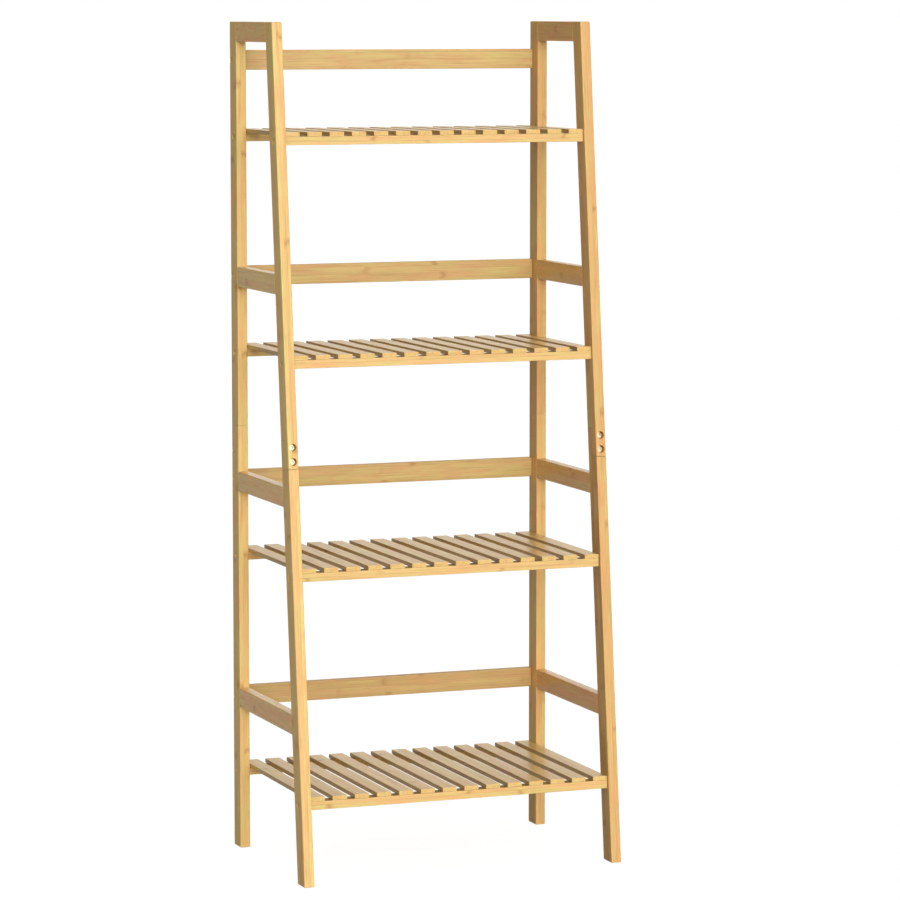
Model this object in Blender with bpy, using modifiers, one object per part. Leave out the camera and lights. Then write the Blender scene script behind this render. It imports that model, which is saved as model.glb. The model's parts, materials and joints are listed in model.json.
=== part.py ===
"""Four-tier bamboo ladder shelf: two leaning side frames, four slatted shelves and four back rails.

The frame: +X to the right, +Y to the back, +Z up, metres.
The origin is on the floor, at the centre of the bounding box.
Each side frame is an upper and a lower half, bolted together with half-lap joints.
"""

import math

import bmesh
import bpy
from mathutils import Matrix, Vector

# Overall size
WIDTH = 0.480
HEIGHT = 1.200
DEPTH_AT_FLOOR = 0.320
DEPTH_AT_TOP = 0.192

# Side frame stock: rear posts, front legs and the pieces between them
MEMBER_WIDTH = 0.015
MEMBER_DEPTH = 0.030
RAIL_HEIGHT = 0.0285
MEMBER_EDGE_RADIUS = 0.0012

# Tiers, from the lowest shelf to the highest one
SHELF_TOPS = (0.124, 0.441, 0.737, 1.047)
RAIL_ABOVE_SHELF = 0.084
BACK_RAIL_THICKNESS = 0.012

# Shelves: slats from front to back, on a front and a rear bearer
SLAT_COUNT = 14
SLAT_WIDTH = 0.0215
SLAT_THICKNESS = 0.006
SLAT_SINK = 0.0004
SLAT_SETBACK = 0.0003
BEARER_HEIGHT = 0.012
BEARER_DEPTH = 0.018

# Joints
GAP = 0.0003
TENON_LENGTH = 0.012
TENON_WIDTH = 0.006
TENON_HEIGHT = 0.018
LAP_LENGTH = 0.040
LAP_CENTRE = 0.600
LAP_BOLT_SPACING = 0.020

# Bolts: head radius, head height, depth of the head below the face, shank radius, shank length, socket
RAIL_BOLT = {"name": "rail_bolt", "head_r": 0.0037, "head_h": 0.0035, "recess": 0.0045,
             "shank_r": 0.0024, "shank": 0.038, "socket_r": 0.0021}
LAP_BOLT = {"name": "lap_bolt", "head_r": 0.0048, "head_h": 0.0035, "recess": 0.006,
            "shank_r": 0.0027, "shank": 0.015, "socket_r": 0.0026}
SOCKET_DEPTH = 0.002
HEAD_CHAMFER = 0.0004
BOLT_SIDES = 12

# Derived places
LEAN = (DEPTH_AT_FLOOR - DEPTH_AT_TOP) / HEIGHT
LEAN_ANGLE = math.atan(LEAN)
BACK_Y = DEPTH_AT_FLOOR / 2
POST_FRONT_Y = BACK_Y - MEMBER_DEPTH
FOOT_FRONT_Y = -DEPTH_AT_FLOOR / 2
INNER_X = WIDTH / 2 - MEMBER_WIDTH
MEMBER_X = WIDTH / 2 - MEMBER_WIDTH / 2
LAP_BOTTOM = LAP_CENTRE - LAP_LENGTH / 2
LAP_TOP = LAP_CENTRE + LAP_LENGTH / 2
BEARER_INSET = (MEMBER_DEPTH - BEARER_DEPTH) / 2
SIDES = {"left": -1, "right": 1}


def leg_front_y(z):
    """Front face of the leaning front legs at height z."""
    return FOOT_FRONT_Y + LEAN * z


# Scene and materials

def clear_scene():
    for item in list(bpy.data.objects):
        bpy.data.objects.remove(item, do_unlink=True)


def make_collection(name):
    collection = bpy.data.collections.new(name)
    bpy.context.scene.collection.children.link(collection)
    return collection


def make_material(name, colour, roughness, metallic=0.0):
    material = bpy.data.materials.new(name)
    material.use_nodes = True
    shader = material.node_tree.nodes["Principled BSDF"]
    shader.inputs["Base Color"].default_value = (*colour, 1.0)
    shader.inputs["Roughness"].default_value = roughness
    shader.inputs["Metallic"].default_value = metallic
    material.diffuse_color = (*colour, 1.0)
    return material


def make_empty(name, parent=None):
    empty = bpy.data.objects.new(name, None)
    empty.empty_display_size = 0.05
    PARTS.objects.link(empty)
    empty.parent = parent
    return empty


# Building blocks

def make_object(name, mesh, collection, material=None, parent=None):
    item = bpy.data.objects.new(name, mesh)
    collection.objects.link(item)
    item.parent = parent
    if material is not None and not mesh.materials:
        mesh.materials.append(material)
    return item


def make_box(name, low, high, collection, material=None, parent=None):
    """A box between two corners, with its origin at its centre."""
    size = [high[axis] - low[axis] for axis in range(3)]
    mesh = bpy.data.meshes.new(name)
    shape = bmesh.new()
    bmesh.ops.create_cube(shape, size=1.0, matrix=Matrix.Diagonal((*size, 1.0)))
    shape.to_mesh(mesh)
    shape.free()
    item = make_object(name, mesh, collection, material, parent)
    item.location = [(high[axis] + low[axis]) / 2 for axis in range(3)]
    return item


def lean_back(item):
    """Shears a box that was made at the foot so that it follows the leaning front legs."""
    for vertex in item.data.vertices:
        vertex.co.y += LEAN * vertex.co.z
    item.location.y += LEAN * item.location.z


def as_cutter(item):
    item.hide_render = True
    item.display_type = "WIRE"
    return item


def round_edges(item, radius, segments=2):
    bevel = item.modifiers.new("rounded_edges", "BEVEL")
    bevel.width = radius
    bevel.segments = segments
    bevel.limit_method = "ANGLE"


def combine(item, other, operation):
    boolean = item.modifiers.new(f"{operation.lower()}_{other.name}", "BOOLEAN")
    boolean.operation = operation
    boolean.solver = "EXACT"
    boolean.object = other


def cut(item, cutters):
    for cutter in cutters:
        combine(item, cutter, "DIFFERENCE")


# Bolts

def turned_blank(name, profile, steps):
    """A solid turned about Z from a profile of (radius, height) points, from top to bottom."""
    outline = bpy.data.meshes.new(name)
    points = [(radius, 0.0, height) for radius, height in profile]
    edges = [(index, index + 1) for index in range(len(points) - 1)]
    outline.from_pydata(points, edges, [])
    blank = bpy.data.objects.new(name, outline)
    CUTTERS.objects.link(blank)
    screw = blank.modifiers.new("turn", "SCREW")
    screw.axis = "Z"
    screw.steps = steps
    screw.render_steps = steps
    screw.use_merge_vertices = True
    screw.merge_threshold = 0.00001
    screw.use_normal_calculate = False
    return blank


def bake_mesh(item, name):
    """The evaluated mesh of an object, which is then removed."""
    bpy.context.view_layer.update()
    graph = bpy.context.evaluated_depsgraph_get()
    mesh = bpy.data.meshes.new_from_object(item.evaluated_get(graph))
    mesh.name = name
    bpy.data.objects.remove(item, do_unlink=True)
    return mesh


def bolt_mesh(bolt):
    """A socket-head bolt along Z: the underside of its head is at z = 0, and its tip points down."""
    name = bolt["name"]
    chamfer = HEAD_CHAMFER
    profile = [(0.0, bolt["head_h"]), (bolt["head_r"] - chamfer, bolt["head_h"]),
               (bolt["head_r"], bolt["head_h"] - chamfer), (bolt["head_r"], 0.0),
               (bolt["shank_r"], 0.0), (bolt["shank_r"], chamfer - bolt["shank"]),
               (bolt["shank_r"] - chamfer, -bolt["shank"]), (0.0, -bolt["shank"])]
    body = turned_blank(name, profile, BOLT_SIDES)
    socket = bpy.data.meshes.new(name + "_socket")
    shape = bmesh.new()
    depth = SOCKET_DEPTH * 2
    bmesh.ops.create_cone(shape, cap_ends=True, segments=6, radius1=bolt["socket_r"],
                          radius2=bolt["socket_r"], depth=depth,
                          matrix=Matrix.Translation((0, 0, bolt["head_h"])))
    shape.to_mesh(socket)
    shape.free()
    key = make_object(name + "_socket", socket, CUTTERS)
    combine(body, key, "DIFFERENCE")
    mesh = bake_mesh(body, name)
    bpy.data.objects.remove(key, do_unlink=True)
    mesh.materials.clear()
    mesh.materials.append(STEEL)
    mesh.shade_smooth()
    mesh.set_sharp_from_angle(angle=math.radians(35))
    return mesh


def bolt_hole_mesh(bolt):
    """The hole that a bolt needs: a counterbore open at the face, and a clearance hole for the shank."""
    reach = bolt["head_h"] + bolt["recess"] + 0.002
    profile = [(0.0, reach), (bolt["head_r"] + GAP, reach), (bolt["head_r"] + GAP, -GAP),
               (bolt["shank_r"] + GAP, -GAP), (bolt["shank_r"] + GAP, -bolt["shank"] - GAP),
               (0.0, -bolt["shank"] - GAP)]
    name = bolt["name"] + "_hole"
    return bake_mesh(turned_blank(name, profile, BOLT_SIDES), name)


def place_bolt(name, bolt, face_point, outward, parent):
    """A bolt whose head lies below the face at face_point. Returns the cutter for its hole."""
    turn = outward.to_track_quat("Z", "Y").to_euler()
    seat = face_point - outward * (bolt["recess"] + bolt["head_h"])
    item = make_object(name, bolt["mesh"], PARTS, None, parent)
    hole = as_cutter(make_object(name + "_hole", bolt["hole_mesh"], CUTTERS))
    for placed in (item, hole):
        placed.location = seat
        placed.rotation_euler = turn
    return hole


# Side frames

def half_lap_cutter(name, low_y, high_y, low_z, high_z, side_x, leaning):
    reach = MEMBER_WIDTH
    box = make_box(name, (side_x - reach, low_y, low_z), (side_x + reach, high_y, high_z), CUTTERS)
    if leaning:
        lean_back(box)
    return as_cutter(box)


def make_upright(name, side, front_y, leaning, outer_is_front, parent):
    """The lower and the upper half of a rear post or a front leg, with the half-lap cut in each.
    The upper half has the outer tongue, the one that the heads of the lap bolts are in."""
    side_x = SIDES[side] * MEMBER_X
    middle = front_y + MEMBER_DEPTH / 2
    spare = 0.01
    halves = {}
    for half, low_z, high_z in (("lower", 0.0, LAP_TOP - GAP), ("upper", LAP_BOTTOM + GAP, HEIGHT)):
        item = make_box(f"{name}_{half}", (side_x - MEMBER_WIDTH / 2, front_y, low_z),
                        (side_x + MEMBER_WIDTH / 2, front_y + MEMBER_DEPTH, high_z),
                        PARTS, BAMBOO_FRAME, parent)
        if leaning:
            lean_back(item)
        round_edges(item, MEMBER_EDGE_RADIUS)
        keeps_front = outer_is_front == (half == "upper")
        if keeps_front:
            cut_y = (middle - GAP / 2, front_y + MEMBER_DEPTH + spare)
        else:
            cut_y = (front_y - spare, middle + GAP / 2)
        cut_z = (LAP_BOTTOM, LAP_TOP + spare) if half == "lower" else (LAP_BOTTOM - spare, LAP_TOP)
        cut(item, [half_lap_cutter(f"{name}_{half}_lap", *cut_y, *cut_z, side_x, leaning)])
        halves[half] = item
    return halves


def make_side_rail(name, side, low_z, parent):
    """A horizontal piece between a front leg and a rear post, with a tenon at each end."""
    side_x = SIDES[side] * MEMBER_X
    middle_z = low_z + RAIL_HEIGHT / 2
    front_y = leg_front_y(middle_z) + MEMBER_DEPTH
    item = make_box(name, (side_x - MEMBER_WIDTH / 2, front_y + GAP, low_z),
                    (side_x + MEMBER_WIDTH / 2, POST_FRONT_Y - GAP, low_z + RAIL_HEIGHT),
                    PARTS, BAMBOO_FRAME, parent)
    for vertex in item.data.vertices:
        if vertex.co.y < 0:
            vertex.co.y += LEAN * vertex.co.z
    round_edges(item, MEMBER_EDGE_RADIUS)

    def bar(bar_name, grow):
        low = (side_x - TENON_WIDTH / 2 - grow, front_y - TENON_LENGTH - grow,
               middle_z - TENON_HEIGHT / 2 - grow)
        high = (side_x + TENON_WIDTH / 2 + grow, POST_FRONT_Y + TENON_LENGTH + grow,
                middle_z + TENON_HEIGHT / 2 + grow)
        return as_cutter(make_box(bar_name, low, high, CUTTERS))

    combine(item, bar(f"{name}_tenons", 0.0), "UNION")
    return bar(f"{name}_mortises", GAP)


def make_lap_bolts(side, post, leg, parent):
    """Two bolts through each half-lap joint, from the front of the leg and from the rear of the post."""
    side_x = SIDES[side] * MEMBER_X
    for index, place in ((-0.5, "lower"), (0.5, "upper")):
        z = LAP_CENTRE + index * LAP_BOLT_SPACING
        forward = Vector((0.0, -math.cos(LEAN_ANGLE), math.sin(LEAN_ANGLE)))
        hole = place_bolt(f"{side}_leg_lap_bolt_{place}", LAP_BOLT,
                          Vector((side_x, leg_front_y(z), z)), forward, parent)
        for half in leg.values():
            cut(half, [hole])
        hole = place_bolt(f"{side}_post_lap_bolt_{place}", LAP_BOLT,
                          Vector((side_x, BACK_Y, z)), Vector((0.0, 1.0, 0.0)), parent)
        for half in post.values():
            cut(half, [hole])


def make_side_frame(side, parent):
    frame = make_empty(f"{side}_side_frame", parent)
    post = make_upright(f"{side}_rear_post", side, POST_FRONT_Y, False, False, frame)
    leg = make_upright(f"{side}_front_leg", side, FOOT_FRONT_Y, True, True, frame)
    for tier, shelf_top in enumerate(SHELF_TOPS, start=1):
        half = "lower" if shelf_top < LAP_CENTRE else "upper"
        if tier < len(SHELF_TOPS):
            mortises = make_side_rail(f"{side}_guard_rail_{tier}", side,
                                      shelf_top + RAIL_ABOVE_SHELF, frame)
        else:
            mortises = make_side_rail(f"{side}_top_piece", side, HEIGHT - RAIL_HEIGHT, frame)
        cut(post[half], [mortises])
        cut(leg[half], [mortises])
    make_lap_bolts(side, post, leg, frame)
    return {"post": post, "leg": leg}


# Shelves and back rails

def bearer_front_y(tier_top):
    """Front face of a front bearer, centred in the depth of the leaning legs at its own height."""
    middle_z = tier_top - SLAT_THICKNESS - BEARER_HEIGHT / 2
    return leg_front_y(middle_z) + BEARER_INSET


def slat_centres():
    span = 2 * (INNER_X - GAP) - 0.0002
    pitch = (span - SLAT_WIDTH) / (SLAT_COUNT - 1)
    return [-(span - SLAT_WIDTH) / 2 + index * pitch for index in range(SLAT_COUNT)]


def make_slats(name, front_y, top_z):
    """The slats of one shelf as one cutter object, to be joined with the bearers."""
    mesh = bpy.data.meshes.new(name)
    shape = bmesh.new()
    size = (SLAT_WIDTH, BACK_Y - front_y, SLAT_THICKNESS + SLAT_SINK)
    for centre_x in slat_centres():
        centre = (centre_x, (BACK_Y + front_y) / 2, top_z - size[2] / 2)
        matrix = Matrix.Translation(centre) @ Matrix.Diagonal((*size, 1.0))
        bmesh.ops.create_cube(shape, size=1.0, matrix=matrix)
    shape.to_mesh(mesh)
    shape.free()
    return as_cutter(make_object(name, mesh, CUTTERS))


def make_shelf(tier, top_z, parent):
    """One glued shelf: a front bearer, a rear bearer and the slats across them."""
    low_z = top_z - SLAT_THICKNESS - BEARER_HEIGHT
    high_z = top_z - SLAT_THICKNESS
    half_x = INNER_X - GAP
    front_y = bearer_front_y(top_z)
    rear_y = POST_FRONT_Y + BEARER_INSET
    shelf = make_box(f"slatted_shelf_{tier}", (-half_x, front_y, low_z),
                     (half_x, front_y + BEARER_DEPTH, high_z), PARTS, BAMBOO_SHELF, parent)
    rear = as_cutter(make_box(f"shelf_{tier}_rear_bearer", (-half_x, rear_y, low_z),
                              (half_x, rear_y + BEARER_DEPTH, high_z), CUTTERS))
    combine(shelf, make_slats(f"shelf_{tier}_slats", front_y + SLAT_SETBACK, top_z), "UNION")
    combine(shelf, rear, "UNION")
    return shelf


def make_back_rail(tier, shelf_top, parent):
    half_x = INNER_X - GAP
    low_z = shelf_top + RAIL_ABOVE_SHELF
    rail = make_box(f"back_rail_{tier}", (-half_x, BACK_Y - BACK_RAIL_THICKNESS, low_z),
                    (half_x, BACK_Y, low_z + RAIL_HEIGHT), PARTS, BAMBOO_RAIL, parent)
    round_edges(rail, MEMBER_EDGE_RADIUS)
    return rail


def bolt_across(name, side, y, z, members, parent):
    """A bolt through the outer face of a side frame into the end of a rail or a bearer."""
    outward = Vector((SIDES[side], 0.0, 0.0))
    hole = place_bolt(name, RAIL_BOLT, Vector((SIDES[side] * WIDTH / 2, y, z)), outward, parent)
    for member in members:
        cut(member, [hole])


def make_tier(tier, shelf_top, frames, parent):
    tier_empty = make_empty(f"tier_{tier}", parent)
    shelf = make_shelf(tier, shelf_top, tier_empty)
    rail = make_back_rail(tier, shelf_top, tier_empty)
    half = "lower" if shelf_top < LAP_CENTRE else "upper"
    bearer_z = shelf_top - SLAT_THICKNESS - BEARER_HEIGHT / 2
    rail_z = shelf_top + RAIL_ABOVE_SHELF + RAIL_HEIGHT / 2
    front_bolt_y = bearer_front_y(shelf_top) + BEARER_DEPTH / 2
    rear_bolt_y = POST_FRONT_Y + MEMBER_DEPTH / 2
    back_bolt_y = BACK_Y - BACK_RAIL_THICKNESS / 2
    for side, frame in frames.items():
        post, leg = frame["post"][half], frame["leg"][half]
        bolt_across(f"{side}_shelf_bolt_{tier}_front", side, front_bolt_y, bearer_z,
                    (leg, shelf), tier_empty)
        bolt_across(f"{side}_shelf_bolt_{tier}_rear", side, rear_bolt_y, bearer_z,
                    (post, shelf), tier_empty)
        bolt_across(f"{side}_back_rail_bolt_{tier}", side, back_bolt_y, rail_z,
                    (post, rail), tier_empty)


clear_scene()
PARTS = make_collection("ladder_shelf")
CUTTERS = make_collection("ladder_shelf_cutters")
BAMBOO_FRAME = make_material("bamboo_frame", (0.74, 0.50, 0.24), 0.42)
BAMBOO_RAIL = make_material("bamboo_rail", (0.68, 0.46, 0.22), 0.42)
BAMBOO_SHELF = make_material("bamboo_shelf", (0.76, 0.55, 0.30), 0.38)
STEEL = make_material("zinc_plated_steel", (0.78, 0.76, 0.68), 0.35, 1.0)
for bolt_kind in (RAIL_BOLT, LAP_BOLT):
    bolt_kind["mesh"] = bolt_mesh(bolt_kind)
    bolt_kind["hole_mesh"] = bolt_hole_mesh(bolt_kind)
ROOT = make_empty("ladder_shelf_root")
SIDE_FRAMES = {side_name: make_side_frame(side_name, ROOT) for side_name in SIDES}
for tier_number, tier_top_z in enumerate(SHELF_TOPS, start=1):
    make_tier(tier_number, tier_top_z, SIDE_FRAMES, ROOT)
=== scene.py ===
"""Looks of the four-tier bamboo ladder shelf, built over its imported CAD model.

The frame is the CAD's: +X to the right, +Y to the back, +Z up, metres, origin on the floor.
"""

import json
import math

import bmesh
import bpy
from mathutils import Euler, Matrix, Vector

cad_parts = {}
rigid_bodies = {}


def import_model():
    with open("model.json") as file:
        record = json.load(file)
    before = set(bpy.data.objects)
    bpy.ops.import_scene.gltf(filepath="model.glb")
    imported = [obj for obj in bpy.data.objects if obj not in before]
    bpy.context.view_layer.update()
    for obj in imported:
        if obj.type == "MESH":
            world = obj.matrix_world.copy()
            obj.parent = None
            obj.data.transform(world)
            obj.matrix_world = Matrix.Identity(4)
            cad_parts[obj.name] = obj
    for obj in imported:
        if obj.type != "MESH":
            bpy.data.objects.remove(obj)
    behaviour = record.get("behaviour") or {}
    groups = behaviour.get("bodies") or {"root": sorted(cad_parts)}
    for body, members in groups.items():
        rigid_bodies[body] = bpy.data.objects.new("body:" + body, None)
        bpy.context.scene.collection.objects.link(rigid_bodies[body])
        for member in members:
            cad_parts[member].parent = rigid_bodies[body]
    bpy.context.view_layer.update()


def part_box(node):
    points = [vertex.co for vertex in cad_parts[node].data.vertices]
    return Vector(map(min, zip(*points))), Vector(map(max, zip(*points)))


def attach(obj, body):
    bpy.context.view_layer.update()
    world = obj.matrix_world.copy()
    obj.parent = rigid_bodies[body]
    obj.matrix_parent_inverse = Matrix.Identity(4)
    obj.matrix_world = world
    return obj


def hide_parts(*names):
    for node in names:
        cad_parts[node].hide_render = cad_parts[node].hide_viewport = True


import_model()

# Camera
CAMERA_PLACE = (-1.99831, -5.35105, 1.22069)
CAMERA_TILT = 83.6852
CAMERA_TURN = -20.8309
CAMERA_LENS = 160.132

# Shape details
EDGE_RADIUS = 0.0013
SLAT_EDGE_RADIUS = 0.0005
BEVEL_STEPS = 3
SLAT_COUNT = 14
SLAT_WIDTH = 0.0215
SLAT_THICKNESS = 0.006
BEARER_HEIGHT = 0.012
BEARER_DEPTH = 0.018
BEARER_INSET = 0.006
SEAM = 0.0002
CUT_MARGIN = 0.01
REACH = 0.004
SIDES = {"left": -1, "right": 1}
TIERS = (1, 2, 3, 4)
ROUND_STEPS = 40

# Bolts; recess is how far the top of the head lies below the face of the wood
BOLT_CHAMFER = 0.0005
SOCKET_SIDES = 6
SOCKET_DEPTH = 0.0021
COUNTERBORE_GAP = 0.0005
COUNTERBORE_FLARE = 0.0034
COUNTERBORE_REACH = 0.003
BOLT_TURN_STEP = 1.3
HEADS = {
    "rail": {"radius": 0.0037, "head": 0.0035, "recess": 0.0045,
             "shank_radius": 0.0024, "shank": 0.038, "socket_radius": 0.0021},
    "lap": {"radius": 0.0048, "head": 0.0035, "recess": 0.006,
            "shank_radius": 0.0027, "shank": 0.015, "socket_radius": 0.0026},
}

# How much darker than the palest wood each piece is, from 0 to 1: partly a deeper tone of the wood
# and partly painted shade, darker on the right frame where less light falls
TONE_AND_SHADE = {
    "left": {"post_lower": 0.0, "post_upper": 0.0, "leg": 0.0, "rail": 0.0},
    "right": {"post_lower": 0.3, "post_upper": 0.55, "leg": 0.55, "rail": 0.45},
}
# Painted shade in part: the back rails are darkened tier by tier, standing for the light each one
# takes
BACK_RAIL_TONE_AND_SHADE = {1: 0.35, 2: 0.25, 3: 0.15, 4: 0.05}

# Grain: cycles of each noise in a metre, across the piece twice and then along it
FIBRE_CYCLES = (1500.0, 1500.0, 34.0)
STREAK_CYCLES = (640.0, 640.0, 11.0)
CLOUD_CYCLES = (70.0, 70.0, 10.0)
PATCH_CYCLES = (150.0, 150.0, 34.0)
TURN_CYCLES = (80.0, 80.0, 16.0)
KNUCKLE_SPACING = 0.29
GLUE_COLOUR = (0.36, 0.20, 0.075)
KNUCKLE_LINE_COLOUR = (0.34, 0.17, 0.055)
# Painted shade colour for the slats' sides and the bearers' tops in the gaps between slats
SHADED_COLOUR = (0.17, 0.08, 0.018)
# Darker colour that a piece's own value multiplies in: a deeper tone and painted shade together
TONE_AND_SHADE_COLOUR = (0.82, 0.72, 0.72)

# First seed of each family of pieces, which sets the pieces' own grain
FRAME_SEED = 3
BACK_RAIL_SEED = 40
BEARER_SEED = 50
SLAT_SEED = 100
SLAT_SEED_STEP = 20

# Studio
FROM_FRONT = (0.13, 0.97, -0.18)
FRONT_SPREAD = 56.0
FLOOR_SIDES = 96
FLOOR_RADIUS = 400.0
FLOOR_DROP = 0.0002

WORKSHOP = bpy.data.collections.new("workshop")
bpy.context.scene.collection.children.link(WORKSHOP)


# Frame measurements

def middle(node):
    low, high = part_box(node)
    return (low + high) / 2


FOOT_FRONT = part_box("left_front_leg_lower")[0].y
POST_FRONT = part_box("left_rear_post_lower")[0].y
STICK_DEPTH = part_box("left_rear_post_lower")[1].y - POST_FRONT
LEG_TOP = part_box("left_front_leg_upper")[1]
LEAN = (LEG_TOP.y - STICK_DEPTH - FOOT_FRONT) / LEG_TOP.z  # metres back for each metre up
LEAN_ANGLE = math.atan(LEAN)


# Node helpers

class Tree:
    """Short ways to add shader nodes to a material or a world."""

    def __init__(self, owner):
        owner.use_nodes = True
        self.nodes = owner.node_tree.nodes
        self.links = owner.node_tree.links
        self.nodes.clear()

    def add(self, kind, settings=None, **inputs):
        node = self.nodes.new(kind)
        for key, value in (settings or {}).items():
            setattr(node, key, value)
        for key, value in inputs.items():
            self.feed(node.inputs[key.replace("_", " ")], value)
        return node

    def feed(self, socket, value):
        if isinstance(value, bpy.types.NodeSocket):
            self.links.new(value, socket)
        else:
            socket.default_value = value

    def own_value(self, name):
        """The number that each object keeps under a name."""
        settings = {"attribute_name": name, "attribute_type": "OBJECT"}
        return self.add("ShaderNodeAttribute", settings).outputs["Fac"]

    def math(self, operation, *values, clamp=False):
        node = self.nodes.new("ShaderNodeMath")
        node.operation = operation
        node.use_clamp = clamp
        for socket, value in zip(node.inputs, values):
            self.feed(socket, value)
        return node.outputs[0]

    def vector(self, operation, *values):
        node = self.nodes.new("ShaderNodeVectorMath")
        node.operation = operation
        for socket, value in zip(node.inputs, values):
            self.feed(socket, value)
        return node.outputs[0]

    def scale(self, vector, factors):
        return self.vector("MULTIPLY", vector, factors)

    def shift(self, vector, offset):
        return self.vector("ADD", vector, offset)

    def noise(self, vector, detail, roughness):
        node = self.add("ShaderNodeTexNoise", Vector=vector, Scale=1.0, Detail=detail)
        node.inputs["Roughness"].default_value = roughness
        return node.outputs["Fac"]

    def steps(self, value, low, high, to_low=0.0, to_high=1.0):
        """value mapped smoothly from low..high to to_low..to_high."""
        node = self.nodes.new("ShaderNodeMapRange")
        node.interpolation_type = "SMOOTHSTEP"
        for socket, number in zip(node.inputs, (value, low, high, to_low, to_high)):
            self.feed(socket, number)
        return node.outputs[0]

    def blend(self, factor, first, second, mode="MIX"):
        node = self.nodes.new("ShaderNodeMix")
        node.data_type = "RGBA"
        node.blend_type = mode
        self.feed(node.inputs["Factor"], factor)
        colours = [socket for socket in node.inputs if socket.type == "RGBA"]
        self.feed(colours[0], first)
        self.feed(colours[1], second)
        return next(socket for socket in node.outputs if socket.type == "RGBA")

    def mix_shaders(self, factor, first, second):
        node = self.nodes.new("ShaderNodeMixShader")
        for socket, value in zip(node.inputs, (factor, first.outputs[0], second.outputs[0])):
            self.links.new(value, socket)
        return node


def rgba(red, green, blue):
    return (red, green, blue, 1.0)


# Materials

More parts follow.
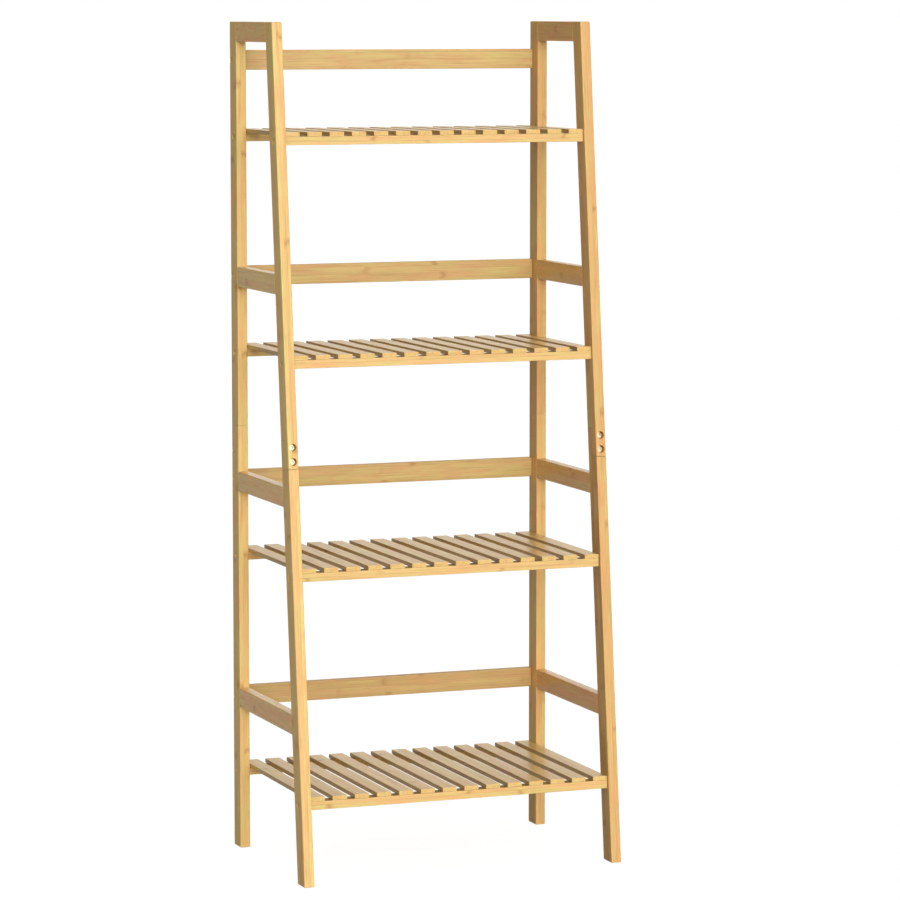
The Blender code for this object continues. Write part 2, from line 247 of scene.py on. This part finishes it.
def bamboo(name, light, deep, strip_width, layer_depth, roughness, specular, coat, grainy,
           painted_side_shade=0.0):
    """Laminated bamboo under clear lacquer, with its grain along the third axis of "grain".

    grainy strengthens the fibres, and the side shade argument paints shade onto the two faces
    across the first axis, such as the slats' sides and the bearers' tops seen in the gaps between
    slats. A piece's own tone-and-shade value darkens it, partly as a deeper tone of the wood and
    partly as painted shade.
    """
    material = bpy.data.materials.new(name)
    tree = Tree(material)
    grain = tree.add("ShaderNodeAttribute", {"attribute_name": "grain"}).outputs["Vector"]
    half = tree.add("ShaderNodeAttribute", {"attribute_name": "half"}).outputs["Vector"]
    seed = tree.own_value("seed")
    tone_and_shade = tree.own_value("tone_and_shade")
    across, through, along = tree.add("ShaderNodeSeparateXYZ", Vector=grain).outputs

    # Strips of the lamination, each with its own tone
    own = tree.add("ShaderNodeTexWhiteNoise", {"noise_dimensions": "1D"}, W=seed).outputs["Value"]
    jog = tree.math("MULTIPLY", tree.math("SUBTRACT", own, 0.5), 0.36)
    strip_place = tree.math("ADD", tree.math("DIVIDE", across, strip_width), jog)
    layer_place = tree.math("ADD", tree.math("DIVIDE", through, layer_depth), jog)
    strip = tree.math("FLOOR", strip_place)
    layer = tree.math("FLOOR", layer_place)
    cell = tree.add("ShaderNodeCombineXYZ", X=strip, Y=layer, Z=seed).outputs[0]
    dice = tree.add("ShaderNodeTexWhiteNoise", {"noise_dimensions": "3D"}, Vector=cell)
    tone = dice.outputs["Value"]
    chance, hue, place = tree.add("ShaderNodeSeparateColor", Color=dice.outputs["Color"]).outputs

    # Fibres, streaks and slow clouds of tone along the stick
    offset = tree.add("ShaderNodeCombineXYZ", X=tree.math("MULTIPLY", seed, 5.3),
                      Y=tree.math("MULTIPLY", tone, 37.0),
                      Z=tree.math("MULTIPLY", seed, 3.1)).outputs[0]
    fibre = tree.noise(tree.shift(tree.scale(grain, FIBRE_CYCLES), offset), 3.0, 0.7)
    streak = tree.noise(tree.shift(tree.scale(grain, STREAK_CYCLES), offset), 3.0, 0.6)
    cloud = tree.noise(tree.shift(tree.scale(grain, CLOUD_CYCLES), offset), 2.0, 0.5)
    patch = tree.noise(tree.shift(tree.scale(grain, PATCH_CYCLES), offset), 2.0, 0.6)
    turn = tree.noise(tree.shift(tree.scale(grain, TURN_CYCLES), tree.scale(
        offset, (1.7, 1.3, 2.1))), 2.0, 0.5)

    # Knuckles: soft brownish bands across some strips, with a thin line in them
    ripple = tree.math("MULTIPLY", tree.math("SUBTRACT", patch, 0.5), 0.022)
    run = tree.math("ADD", tree.math("DIVIDE", tree.math("ADD", along, ripple), KNUCKLE_SPACING),
                    tree.math("MULTIPLY", place, 9.0))
    from_knuckle = tree.math("MULTIPLY", tree.math("ABSOLUTE", tree.math(
        "SUBTRACT", tree.math("FRACT", run), 0.5)), KNUCKLE_SPACING)
    band = tree.steps(from_knuckle, 0.0008, 0.0085, 1.0, 0.0)
    line = tree.steps(from_knuckle, 0.0002, 0.0017, 1.0, 0.0)
    depth = tree.steps(chance, 0.1, 1.0, 0.06, 0.62)

    # Glue lines between the strips, stronger in some places than in others
    from_glue = tree.math("MULTIPLY", tree.math("SUBTRACT", 0.5, tree.math(
        "ABSOLUTE", tree.math("SUBTRACT", tree.math("FRACT", strip_place), 0.5))), strip_width)
    glue = tree.steps(from_glue, 0.00012, 0.0006, 1.0, 0.0)
    glue = tree.math("MULTIPLY", glue, tree.steps(cloud, 0.4, 0.66, 0.08, 0.5))

    # Worn and rounded edges, lighter in colour: partly wear and partly a painted highlight
    room = tree.vector("SUBTRACT", half, tree.vector("ABSOLUTE", grain))
    first, second, third = tree.add("ShaderNodeSeparateXYZ", Vector=room).outputs
    lowest = tree.math("MINIMUM", tree.math("MINIMUM", first, second), third)
    highest = tree.math("MAXIMUM", tree.math("MAXIMUM", first, second), third)
    total = tree.math("ADD", tree.math("ADD", first, second), third)
    to_edge = tree.math("SUBTRACT", tree.math("SUBTRACT", total, lowest), highest)
    ragged = tree.math("ADD", to_edge, tree.math(
        "MULTIPLY", tree.math("SUBTRACT", fibre, 0.5), 0.0016))
    worn_edge_and_highlight = tree.steps(ragged, 0.0003, 0.0015, 1.0, 0.0)

    # Colour
    mixed = tree.math("ADD", tree.math("MULTIPLY", tone, 0.62),
                      tree.math("MULTIPLY", cloud, 0.95))
    mixed = tree.math("SUBTRACT", mixed, 0.36)
    # Painted shade in part: a piece's own value pushes its colour toward the deep tone
    mixed = tree.math("ADD", mixed, tone_and_shade, clamp=True)
    colour = tree.blend(mixed, rgba(*light), rgba(*deep))
    rosy = rgba(deep[0] * 1.14, deep[1] * 0.97, deep[2] * 1.08)
    olive = rgba(light[0] * 0.87, light[1] * 0.95, light[2] * 0.82)
    colour = tree.blend(tree.steps(hue, 0.45, 1.0, 0.0, 0.55), colour, rosy)
    colour = tree.blend(tree.steps(hue, 0.45, 0.0, 0.0, 0.5), colour, olive)
    colour = tree.blend(tree.steps(turn, 0.48, 0.68, 0.0, 0.9), colour, rosy)
    colour = tree.blend(tree.steps(turn, 0.5, 0.30, 0.0, 0.7), colour, olive)
    colour = tree.blend(tree.steps(patch, 0.52, 0.72, 0.0, 0.7), colour, rosy)
    dark = rgba(deep[0] * 0.70, deep[1] * 0.62, deep[2] * 0.52)
    colour = tree.blend(tree.steps(streak, 0.5, 0.76, 0.0, 0.46 * grainy), colour, dark)
    colour = tree.blend(tree.steps(fibre, 0.46, 0.78, 0.0, 0.34 * grainy), colour, dark)
    colour = tree.blend(tree.steps(streak, 0.46, 0.24, 0.0, 0.4 * grainy), colour,
                        rgba(*(min(value * 1.1, 1.0) for value in light)))
    brown = rgba(deep[0] * 0.78, deep[1] * 0.60, deep[2] * 0.50)
    colour = tree.blend(tree.math("MULTIPLY", band, depth), colour, brown)
    colour = tree.blend(tree.math("MULTIPLY", tree.math("MULTIPLY", line, depth), 0.55), colour,
                        rgba(*KNUCKLE_LINE_COLOUR))
    colour = tree.blend(glue, colour, rgba(*GLUE_COLOUR))
    # Painted highlight in part: the rounded edges are lightened in colour, also standing for wear
    colour = tree.blend(tree.math("MULTIPLY", worn_edge_and_highlight, 0.22), colour,
                        rgba(*(min(value * 1.15, 1.0) for value in light)))

    # Painted shade in part: the piece's own value multiplies in a darker colour, standing both for
    # a deeper tone and for less light on that piece
    colour = tree.blend(tone_and_shade, colour, rgba(*TONE_AND_SHADE_COLOUR), mode="MULTIPLY")

    # Painted shade: the faces across the first axis, the slats' sides and the bearers' tops in the
    # gaps, are darkened toward a shade colour
    if painted_side_shade:
        side = tree.steps(first, 0.0001, 0.0004, painted_side_shade, 0.0)
        colour = tree.blend(side, colour, rgba(*SHADED_COLOUR))

    # Lacquer that shows the fibres a little
    gloss = tree.math("ADD", tree.math("MULTIPLY", fibre, 0.16), roughness - 0.08)
    gloss = tree.math("ADD", gloss, tree.math("MULTIPLY", worn_edge_and_highlight, 0.08))
    height = tree.math("ADD", tree.math("MULTIPLY", fibre, 0.6),
                       tree.math("MULTIPLY", streak, 0.5))
    height = tree.math("ADD", height, tree.math("MULTIPLY", band, 0.5))
    height = tree.math("SUBTRACT", height, tree.math("MULTIPLY", glue, 1.2))
    bump = tree.add("ShaderNodeBump", Height=height, Strength=0.4, Distance=0.00012)
    shader = tree.add("ShaderNodeBsdfPrincipled", Base_Color=colour, Roughness=gloss,
                      Normal=bump.outputs[0])
    shader.inputs["IOR"].default_value = 1.48
    shader.inputs["Specular IOR Level"].default_value = specular
    shader.inputs["Coat Weight"].default_value = coat
    shader.inputs["Coat Roughness"].default_value = 0.16
    tree.add("ShaderNodeOutputMaterial", Surface=shader.outputs[0])
    return material


def zinc_plate():
    """Bright zinc plating with a faint turned finish, its warm cream tint a painted reflection of
    the bamboo around the heads.
    """
    material = bpy.data.materials.new("zinc_plate")
    tree = Tree(material)
    place = tree.add("ShaderNodeTexCoord").outputs["Object"]
    cloud = tree.noise(tree.scale(place, (900.0, 900.0, 900.0)), 3.0, 0.6)
    patina = tree.noise(tree.scale(place, (240.0, 240.0, 240.0)), 2.0, 0.5)
    # Painted reflection: the warm cream base colours stand for the bamboo mirrored in the heads
    colour = tree.blend(tree.steps(patina, 0.35, 0.7), rgba(0.60, 0.50, 0.32),
                        rgba(0.50, 0.41, 0.25))
    bump = tree.add("ShaderNodeBump", Height=cloud, Strength=0.2, Distance=0.00005)
    shader = tree.add("ShaderNodeBsdfPrincipled", Base_Color=colour,
                      Roughness=tree.math("ADD", tree.math("MULTIPLY", cloud, 0.2), 0.26),
                      Normal=bump.outputs[0])
    shader.inputs["Metallic"].default_value = 1.0
    tree.add("ShaderNodeOutputMaterial", Surface=shader.outputs[0])
    return material


# Making pieces

def box_mesh(name, low, high):
    """A box between two corners, in the row frame."""
    mesh = bpy.data.meshes.new(name)
    shape = bmesh.new()
    size = Vector(high) - Vector(low)
    centre = (Vector(high) + Vector(low)) / 2
    matrix = Matrix.Translation(centre) @ Matrix.Diagonal((*size, 1.0))
    bmesh.ops.create_cube(shape, size=1.0, matrix=matrix)
    shape.to_mesh(mesh)
    shape.free()
    mesh.shade_smooth()
    return mesh


def lean_mesh(mesh, only_below=math.inf):
    """Shears the part of a mesh in front of a limit so that it follows the front legs."""
    for vertex in mesh.vertices:
        if vertex.co.y < only_below:
            vertex.co.y += LEAN * vertex.co.z


def cutter(mesh):
    item = bpy.data.objects.new(mesh.name, mesh)
    WORKSHOP.objects.link(item)
    return item


def box_cutter(low, high, leaning=False):
    mesh = box_mesh("cutter", low, high)
    if leaning:
        lean_mesh(mesh)
    return cutter(mesh)


def turned_mesh(name, profile, steps):
    """A closed solid turned about Z from (radius, height) points that start and end on the axis."""
    shape = bmesh.new()
    rings = []
    for radius, height in profile:
        if radius == 0.0:
            rings.append([shape.verts.new((0.0, 0.0, height))])
            continue
        angles = [2 * math.pi * step / steps for step in range(steps)]
        rings.append([shape.verts.new((radius * math.cos(angle), radius * math.sin(angle), height))
                      for angle in angles])
    for upper, lower in zip(rings, rings[1:]):
        for step in range(steps):
            after = (step + 1) % steps
            if len(upper) == 1:
                shape.faces.new((upper[0], lower[step], lower[after]))
            elif len(lower) == 1:
                shape.faces.new((upper[step], lower[0], upper[after]))
            else:
                shape.faces.new((upper[step], lower[step], lower[after], upper[after]))
    bmesh.ops.recalc_face_normals(shape, faces=shape.faces)
    mesh = bpy.data.meshes.new(name)
    shape.to_mesh(mesh)
    shape.free()
    mesh.shade_smooth()
    return mesh


def finished_mesh(name, mesh, radius, cutters):
    """The mesh with its edges rounded and the cutters taken out of it."""
    item = cutter(mesh)
    if radius:
        bevel = item.modifiers.new("rounded_edges", "BEVEL")
        bevel.width = radius
        bevel.segments = BEVEL_STEPS
        bevel.limit_method = "ANGLE"
    for index, tool in enumerate(cutters):
        boolean = item.modifiers.new(f"cut_{index}", "BOOLEAN")
        boolean.operation = "DIFFERENCE"
        boolean.solver = "EXACT"
        boolean.object = tool
    bpy.context.view_layer.update()
    graph = bpy.context.evaluated_depsgraph_get()
    result = bpy.data.meshes.new_from_object(item.evaluated_get(graph))
    result.name = name
    bpy.data.objects.remove(item, do_unlink=True)
    return result


def set_grain(mesh, matrix):
    """Stores each point's place in the piece's own axes, and the piece's half sizes."""
    inverse = matrix.inverted()
    places = [inverse @ vertex.co for vertex in mesh.vertices]
    half = [max(abs(place[axis]) for place in places) for axis in range(3)]
    grain = mesh.attributes.new("grain", "FLOAT_VECTOR", "POINT")
    grain.data.foreach_set("vector", [number for place in places for number in place])
    reach = mesh.attributes.new("half", "FLOAT_VECTOR", "POINT")
    reach.data.foreach_set("vector", half * len(places))


def add_piece(name, mesh, material, nodes, seed, tone_and_shade=0.0, soft_angle=40.0):
    mesh.materials.clear()
    mesh.materials.append(material)
    mesh.shade_smooth()
    mesh.set_sharp_from_angle(angle=math.radians(soft_angle))
    piece = bpy.data.objects.new(name, mesh)
    bpy.context.scene.collection.objects.link(piece)
    piece["seed"] = float(seed)
    piece["tone_and_shade"] = float(tone_and_shade)
    normals = piece.modifiers.new("even_faces", "WEIGHTED_NORMAL")
    normals.keep_sharp = True
    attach(piece, "root")
    if nodes:
        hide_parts(*nodes)
    return piece


def grain_axes(centre, direction):
    """Axes at centre: the third along direction, the first near to X, or to Z if direction is X."""
    third = Vector(direction).normalized()
    guide = Vector((1.0, 0.0, 0.0)) if abs(third.x) < 0.9 else Vector((0.0, 0.0, 1.0))
    second = third.cross(guide).normalized()
    first = second.cross(third)
    matrix = Matrix((first, second, third)).transposed().to_4x4()
    matrix.translation = centre
    return matrix


# Bolts

def bolt_mesh(name, radius, head, shank_radius, shank, socket_radius):
    """A socket-head bolt along Z, with the underside of its head at z = 0."""
    rounding = BOLT_CHAMFER * 0.3
    profile = [(0.0, head), (radius - BOLT_CHAMFER, head), (radius - rounding, head - rounding),
               (radius, head - BOLT_CHAMFER), (radius, 0.0), (shank_radius, 0.0),
               (shank_radius, -shank), (0.0, -shank)]
    body = turned_mesh(name, profile, ROUND_STEPS)
    key = bpy.data.meshes.new("key")
    shape = bmesh.new()
    bmesh.ops.create_cone(shape, cap_ends=True, segments=SOCKET_SIDES, radius1=socket_radius,
                          radius2=socket_radius, depth=SOCKET_DEPTH * 2,
                          matrix=Matrix.Translation((0.0, 0.0, head)))
    shape.to_mesh(key)
    shape.free()
    tool = cutter(key)
    mesh = finished_mesh(name, body, 0.0, [tool])
    bpy.data.objects.remove(tool, do_unlink=True)
    return mesh


def seat_matrix(node, kind, outward):
    """The place of a bolt: its box's centre, moved out to the underside of the head."""
    sizes = HEADS[kind]
    outward = Vector(outward).normalized()
    length = sizes["head"] + sizes["shank"]
    seat = middle(node) + outward * (length / 2 - sizes["head"])
    matrix = outward.to_track_quat("Z", "Y").to_matrix().to_4x4()
    matrix.translation = seat
    return matrix


def counterbore(matrix, kind):
    """The cutter of a bolt's counterbore, with a small chamfer at its mouth."""
    sizes = HEADS[kind]
    wide = sizes["radius"] + COUNTERBORE_GAP
    face = sizes["head"] + sizes["recess"]
    mouth = face + COUNTERBORE_REACH
    profile = [(0.0, mouth), (wide + COUNTERBORE_FLARE, mouth), (wide, face - 0.0004),
               (wide, -SEAM), (0.0, -SEAM)]
    mesh = turned_mesh("counterbore", profile, ROUND_STEPS)
    mesh.transform(matrix)
    return cutter(mesh)


def bolts_of():
    """Every bolt node with its kind and outward direction."""
    forward = Vector((0.0, -math.cos(LEAN_ANGLE), math.sin(LEAN_ANGLE)))
    found = {}
    for side, sign in SIDES.items():
        outward = Vector((sign, 0.0, 0.0))
        for tier in TIERS:
            for place in ("front", "rear"):
                found[f"{side}_shelf_bolt_{tier}_{place}"] = ("rail", outward)
            found[f"{side}_back_rail_bolt_{tier}"] = ("rail", outward)
        for place in ("lower", "upper"):
            found[f"{side}_leg_lap_bolt_{place}"] = ("lap", forward)
            found[f"{side}_post_lap_bolt_{place}"] = ("lap", Vector((0.0, 1.0, 0.0)))
    return found


def make_bolts(material):
    meshes = {}
    for kind, sizes in HEADS.items():
        own = {key: value for key, value in sizes.items() if key != "recess"}
        meshes[kind] = bolt_mesh(f"{kind}_bolt", **own)
    tools = {}
    for index, (node, (kind, outward)) in enumerate(bolts_of().items()):
        matrix = seat_matrix(node, kind, outward)
        mesh = meshes[kind].copy()
        mesh.transform(Matrix.Rotation(index * BOLT_TURN_STEP, 4, "Z"))
        mesh.transform(matrix)
        add_piece(f"{node}_detailed", mesh, material, [node], index, soft_angle=30.0)
        tools[node] = counterbore(matrix, kind)
    return tools


# Side frames

def touching(tools, low, high):
    """The counterbores that reach into a box."""
    found = []
    for tool in tools.values():
        points = [vertex.co for vertex in tool.data.vertices]
        centre = sum(points, Vector()) / len(points)
        if all(low[axis] - REACH <= centre[axis] <= high[axis] + REACH for axis in range(3)):
            found.append(tool)
    return found


def make_upright(node, leaning, material, tools, seed, tone_and_shade):
    """One half of a post or a leg, with its half-lap."""
    low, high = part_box(node)
    upper = node.endswith("_upper")
    other = node[:-len("upper")] + ("lower" if upper else "upper")
    other_low, other_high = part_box(other)
    front = FOOT_FRONT if leaning else low.y
    mesh = box_mesh(node, (low.x, front, low.z), (high.x, front + STICK_DEPTH, high.z))
    if leaning:
        lean_mesh(mesh)
    centre_y = front + STICK_DEPTH / 2
    if leaning != upper:
        cut_y = (front - CUT_MARGIN, centre_y + SEAM / 2)
    else:
        cut_y = (centre_y - SEAM / 2, front + STICK_DEPTH + CUT_MARGIN)
    if upper:
        cut_z = (low.z - CUT_MARGIN, other_high.z + SEAM)
    else:
        cut_z = (other_low.z - SEAM, high.z + CUT_MARGIN)
    lap = box_cutter((low.x - CUT_MARGIN, cut_y[0], cut_z[0]),
                     (high.x + CUT_MARGIN, cut_y[1], cut_z[1]), leaning)
    cuts = [lap] + touching(tools, low, high)
    result = finished_mesh(f"{node}_detailed", mesh, EDGE_RADIUS, cuts)
    direction = (0.0, LEAN, 1.0) if leaning else (0.0, 0.0, 1.0)
    middle_z = (low.z + high.z) / 2
    lean_back = LEAN * middle_z if leaning else 0.0
    centre = Vector(((low.x + high.x) / 2, centre_y + lean_back, middle_z))
    set_grain(result, grain_axes(centre, direction))
    add_piece(f"{node}_detailed", result, material, [node], seed, tone_and_shade)


def make_side_rail(node, material, seed, tone_and_shade):
    """A guard rail or a top piece, from the leg's slanted rear face to the post's front face."""
    low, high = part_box(node)
    start = FOOT_FRONT + STICK_DEPTH + SEAM
    mesh = box_mesh(node, (low.x, start, low.z), (high.x, POST_FRONT - SEAM, high.z))
    lean_mesh(mesh, only_below=(start + POST_FRONT) / 2)
    result = finished_mesh(f"{node}_detailed", mesh, EDGE_RADIUS, [])
    set_grain(result, grain_axes((low + high) / 2, (0.0, 1.0, 0.0)))
    add_piece(f"{node}_detailed", result, material, [node], seed, tone_and_shade)


def make_side_frames(material, guard_material, tools):
    seed = FRAME_SEED
    for side in SIDES:
        tone_and_shade = TONE_AND_SHADE[side]
        post_seed = seed
        for half in ("lower", "upper"):
            make_upright(f"{side}_rear_post_{half}", False, material, tools, post_seed,
                         tone_and_shade[f"post_{half}"])
            make_upright(f"{side}_front_leg_{half}", True, material, tools, seed + 1, tone_and_shade["leg"])
            seed += 2
        for tier in TIERS[:3]:
            make_side_rail(f"{side}_guard_rail_{tier}", guard_material, seed, tone_and_shade["rail"])
            seed += 1
        make_side_rail(f"{side}_top_piece", guard_material, seed, tone_and_shade["rail"])
        seed += 1


# Back rails and shelves

def make_back_rail(tier, material):
    node = f"back_rail_{tier}"
    low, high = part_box(node)
    mesh = finished_mesh(f"{node}_detailed", box_mesh(node, low, high), EDGE_RADIUS, [])
    set_grain(mesh, grain_axes((low + high) / 2, (1.0, 0.0, 0.0)))
    add_piece(f"{node}_detailed", mesh, material, [node], BACK_RAIL_SEED + tier,
              BACK_RAIL_TONE_AND_SHADE[tier])


def make_shelf(tier, slat_material, bearer_material):
    """The slats and the two bearers of one shelf, as separate pieces."""
    node = f"slatted_shelf_{tier}"
    low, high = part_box(node)
    bearer_top = low.z + BEARER_HEIGHT
    rear_low = POST_FRONT + BEARER_INSET
    for place, front in (("front", low.y), ("rear", rear_low)):
        name = f"shelf_{tier}_{place}_bearer"
        corners = (low.x, front, low.z), (high.x, front + BEARER_DEPTH, bearer_top)
        mesh = finished_mesh(name, box_mesh(name, *corners), SLAT_EDGE_RADIUS, [])
        centre = (Vector(corners[0]) + Vector(corners[1])) / 2
        set_grain(mesh, grain_axes(centre, (1.0, 0.0, 0.0)))
        nodes = [node] if place == "front" else []
        seed = BEARER_SEED + tier * 2 + (place == "rear")
        add_piece(name, mesh, bearer_material, nodes, seed)
    pitch = (high.x - low.x - SLAT_WIDTH) / (SLAT_COUNT - 1)
    for index in range(SLAT_COUNT):
        name = f"shelf_{tier}_slat_{index + 1:02d}"
        left = low.x + pitch * index
        start = (left, low.y + SEAM, high.z - SLAT_THICKNESS)
        end = (left + SLAT_WIDTH, high.y, high.z)
        mesh = finished_mesh(name, box_mesh(name, start, end), SLAT_EDGE_RADIUS, [])
        centre = (Vector(start) + Vector(end)) / 2
        set_grain(mesh, grain_axes(centre, (0.0, 1.0, 0.0)))
        seed = SLAT_SEED + tier * SLAT_SEED_STEP + index
        add_piece(name, mesh, slat_material, [], seed)


# Studio

def make_floor():
    """A wide pale floor that looks near white, and sends less light up than it shows."""
    mesh = bpy.data.meshes.new("floor")
    shape = bmesh.new()
    bmesh.ops.create_circle(shape, cap_ends=True, segments=FLOOR_SIDES, radius=FLOOR_RADIUS,
                            matrix=Matrix.Translation((0.0, 0.0, -FLOOR_DROP)))
    shape.to_mesh(mesh)
    shape.free()
    material = bpy.data.materials.new("pale_floor")
    tree = Tree(material)
    seen = tree.add("ShaderNodeBsdfPrincipled")
    seen.inputs["Base Color"].default_value = rgba(0.14, 0.14, 0.138)
    seen.inputs["Roughness"].default_value = 1.0
    seen.inputs["Specular IOR Level"].default_value = 0.0
    seen.inputs["Emission Color"].default_value = rgba(1.0, 1.0, 0.995)
    seen.inputs["Emission Strength"].default_value = 0.935
    bounce = tree.add("ShaderNodeBsdfDiffuse", Color=rgba(0.56, 0.56, 0.55))
    path = tree.add("ShaderNodeLightPath")
    mixed = tree.mix_shaders(path.outputs["Is Camera Ray"], bounce, seen)
    tree.add("ShaderNodeOutputMaterial", Surface=mixed.outputs[0])
    mesh.materials.append(material)
    floor = bpy.data.objects.new("floor", mesh)
    bpy.context.scene.collection.objects.link(floor)


def make_world():
    """A white surround that gives little light, and is darker at the left in reflections."""
    world = bpy.data.worlds.new("studio")
    bpy.context.scene.world = world
    tree = Tree(world)
    seen = tree.add("ShaderNodeBackground", Color=rgba(1.0, 1.0, 1.0), Strength=1.0)
    direction = tree.add("ShaderNodeTexCoord").outputs["Generated"]
    rightward = tree.add("ShaderNodeSeparateXYZ", Vector=direction).outputs[0]
    mirrored = tree.add("ShaderNodeBackground", Color=rgba(1.0, 0.98, 0.90),
                        Strength=tree.steps(rightward, -0.22, 0.28, 0.05, 0.95))
    fill = tree.add("ShaderNodeBackground", Color=rgba(1.0, 1.0, 1.0), Strength=0.08)
    path = tree.add("ShaderNodeLightPath")
    unseen = tree.mix_shaders(path.outputs["Is Glossy Ray"], fill, mirrored)
    whole = tree.mix_shaders(path.outputs["Is Camera Ray"], unseen, seen)
    tree.add("ShaderNodeOutputWorld", Surface=whole.outputs[0])


def add_sun(name, toward, strength, spread, lights="both"):
    """A soft light from far away that shines toward a direction.

    lights is "body" for a light without highlights, "gloss" for highlights alone, or "both".
    """
    light = bpy.data.lights.new(name, "SUN")
    light.energy = strength
    light.angle = math.radians(spread)
    item = bpy.data.objects.new(name, light)
    item.rotation_euler = Vector(toward).to_track_quat("-Z", "Y").to_euler()
    item.visible_glossy = lights != "body"
    item.visible_diffuse = lights != "gloss"
    bpy.context.scene.collection.objects.link(item)
    return item


def spare_slats(light):
    """Keeps a light off the slats, whose broad flat tops would mirror it as glare from behind."""
    slats = bpy.data.collections.new("slats")
    for item in bpy.context.scene.objects:
        if "_slat_" in item.name:
            slats.objects.link(item)
    for entry in slats.collection_objects:
        entry.light_linking.link_state = "EXCLUDE"
    light.light_linking.receiver_collection = slats


def make_camera():
    data = bpy.data.cameras.new("camera")
    data.lens = CAMERA_LENS
    data.sensor_width = 36.0
    data.clip_end = 1000.0
    camera = bpy.data.objects.new("camera", data)
    camera.location = CAMERA_PLACE
    camera.rotation_euler = Euler((math.radians(CAMERA_TILT), 0.0, math.radians(CAMERA_TURN)))
    bpy.context.scene.collection.objects.link(camera)
    bpy.context.scene.camera = camera


frame_bamboo = bamboo(
    "frame_bamboo", light=(0.78, 0.562, 0.212), deep=(0.662, 0.43, 0.145), strip_width=0.0085,
    layer_depth=0.0155, roughness=0.42, specular=0.22, coat=0.0, grainy=1.3)
guard_bamboo = bamboo(
    "guard_bamboo", light=(0.83, 0.545, 0.180), deep=(0.70, 0.415, 0.122), strip_width=0.0155,
    layer_depth=0.0098, roughness=0.26, specular=0.42, coat=0.25, grainy=1.3)
# Painted shade in part: the back rails' bamboo is darker than the frame's, standing for the less
# light they take at the back under the shelves
rail_bamboo = bamboo(
    "rail_bamboo", light=(0.62, 0.454, 0.178), deep=(0.508, 0.347, 0.130), strip_width=0.0100,
    layer_depth=0.0125, roughness=0.42, specular=0.25, coat=0.0, grainy=1.3)
# The slat and bearer materials paint shade onto the slats' sides and the bearers' tops
slat_bamboo = bamboo(
    "slat_bamboo", light=(0.80, 0.565, 0.210), deep=(0.67, 0.44, 0.150), strip_width=0.0105,
    layer_depth=0.0065, roughness=0.32, specular=0.5, coat=0.16, grainy=2.1, painted_side_shade=0.42)
bearer_bamboo = bamboo(
    "bearer_bamboo", light=(0.77, 0.56, 0.22), deep=(0.655, 0.43, 0.155), strip_width=0.0070,
    layer_depth=0.0155, roughness=0.40, specular=0.25, coat=0.0, grainy=1.2, painted_side_shade=0.75)
zinc = zinc_plate()

bolt_tools = make_bolts(zinc)
make_side_frames(frame_bamboo, guard_bamboo, bolt_tools)
for tier_number in TIERS:
    make_back_rail(tier_number, rail_bamboo)
    make_shelf(tier_number, slat_bamboo, bearer_bamboo)
for tool_object in list(WORKSHOP.objects):
    bpy.data.objects.remove(tool_object, do_unlink=True)
bpy.data.collections.remove(WORKSHOP)

bpy.context.scene.view_settings.view_transform = "Standard"
make_floor()
make_world()
add_sun("front_light", FROM_FRONT, strength=3.05, spread=FRONT_SPREAD, lights="body")
add_sun("low_light", (0.10, 0.99, -0.05), strength=0.85, spread=10.0, lights="body")
spare_slats(add_sun("front_sheen", FROM_FRONT, strength=3.7, spread=FRONT_SPREAD, lights="gloss"))
add_sun("top_light", (0.0, 0.1, -1.0), strength=1.24, spread=110.0)
add_sun("back_light", (-0.55, -0.83, -0.08), strength=1.5, spread=24.0, lights="body")
make_camera()
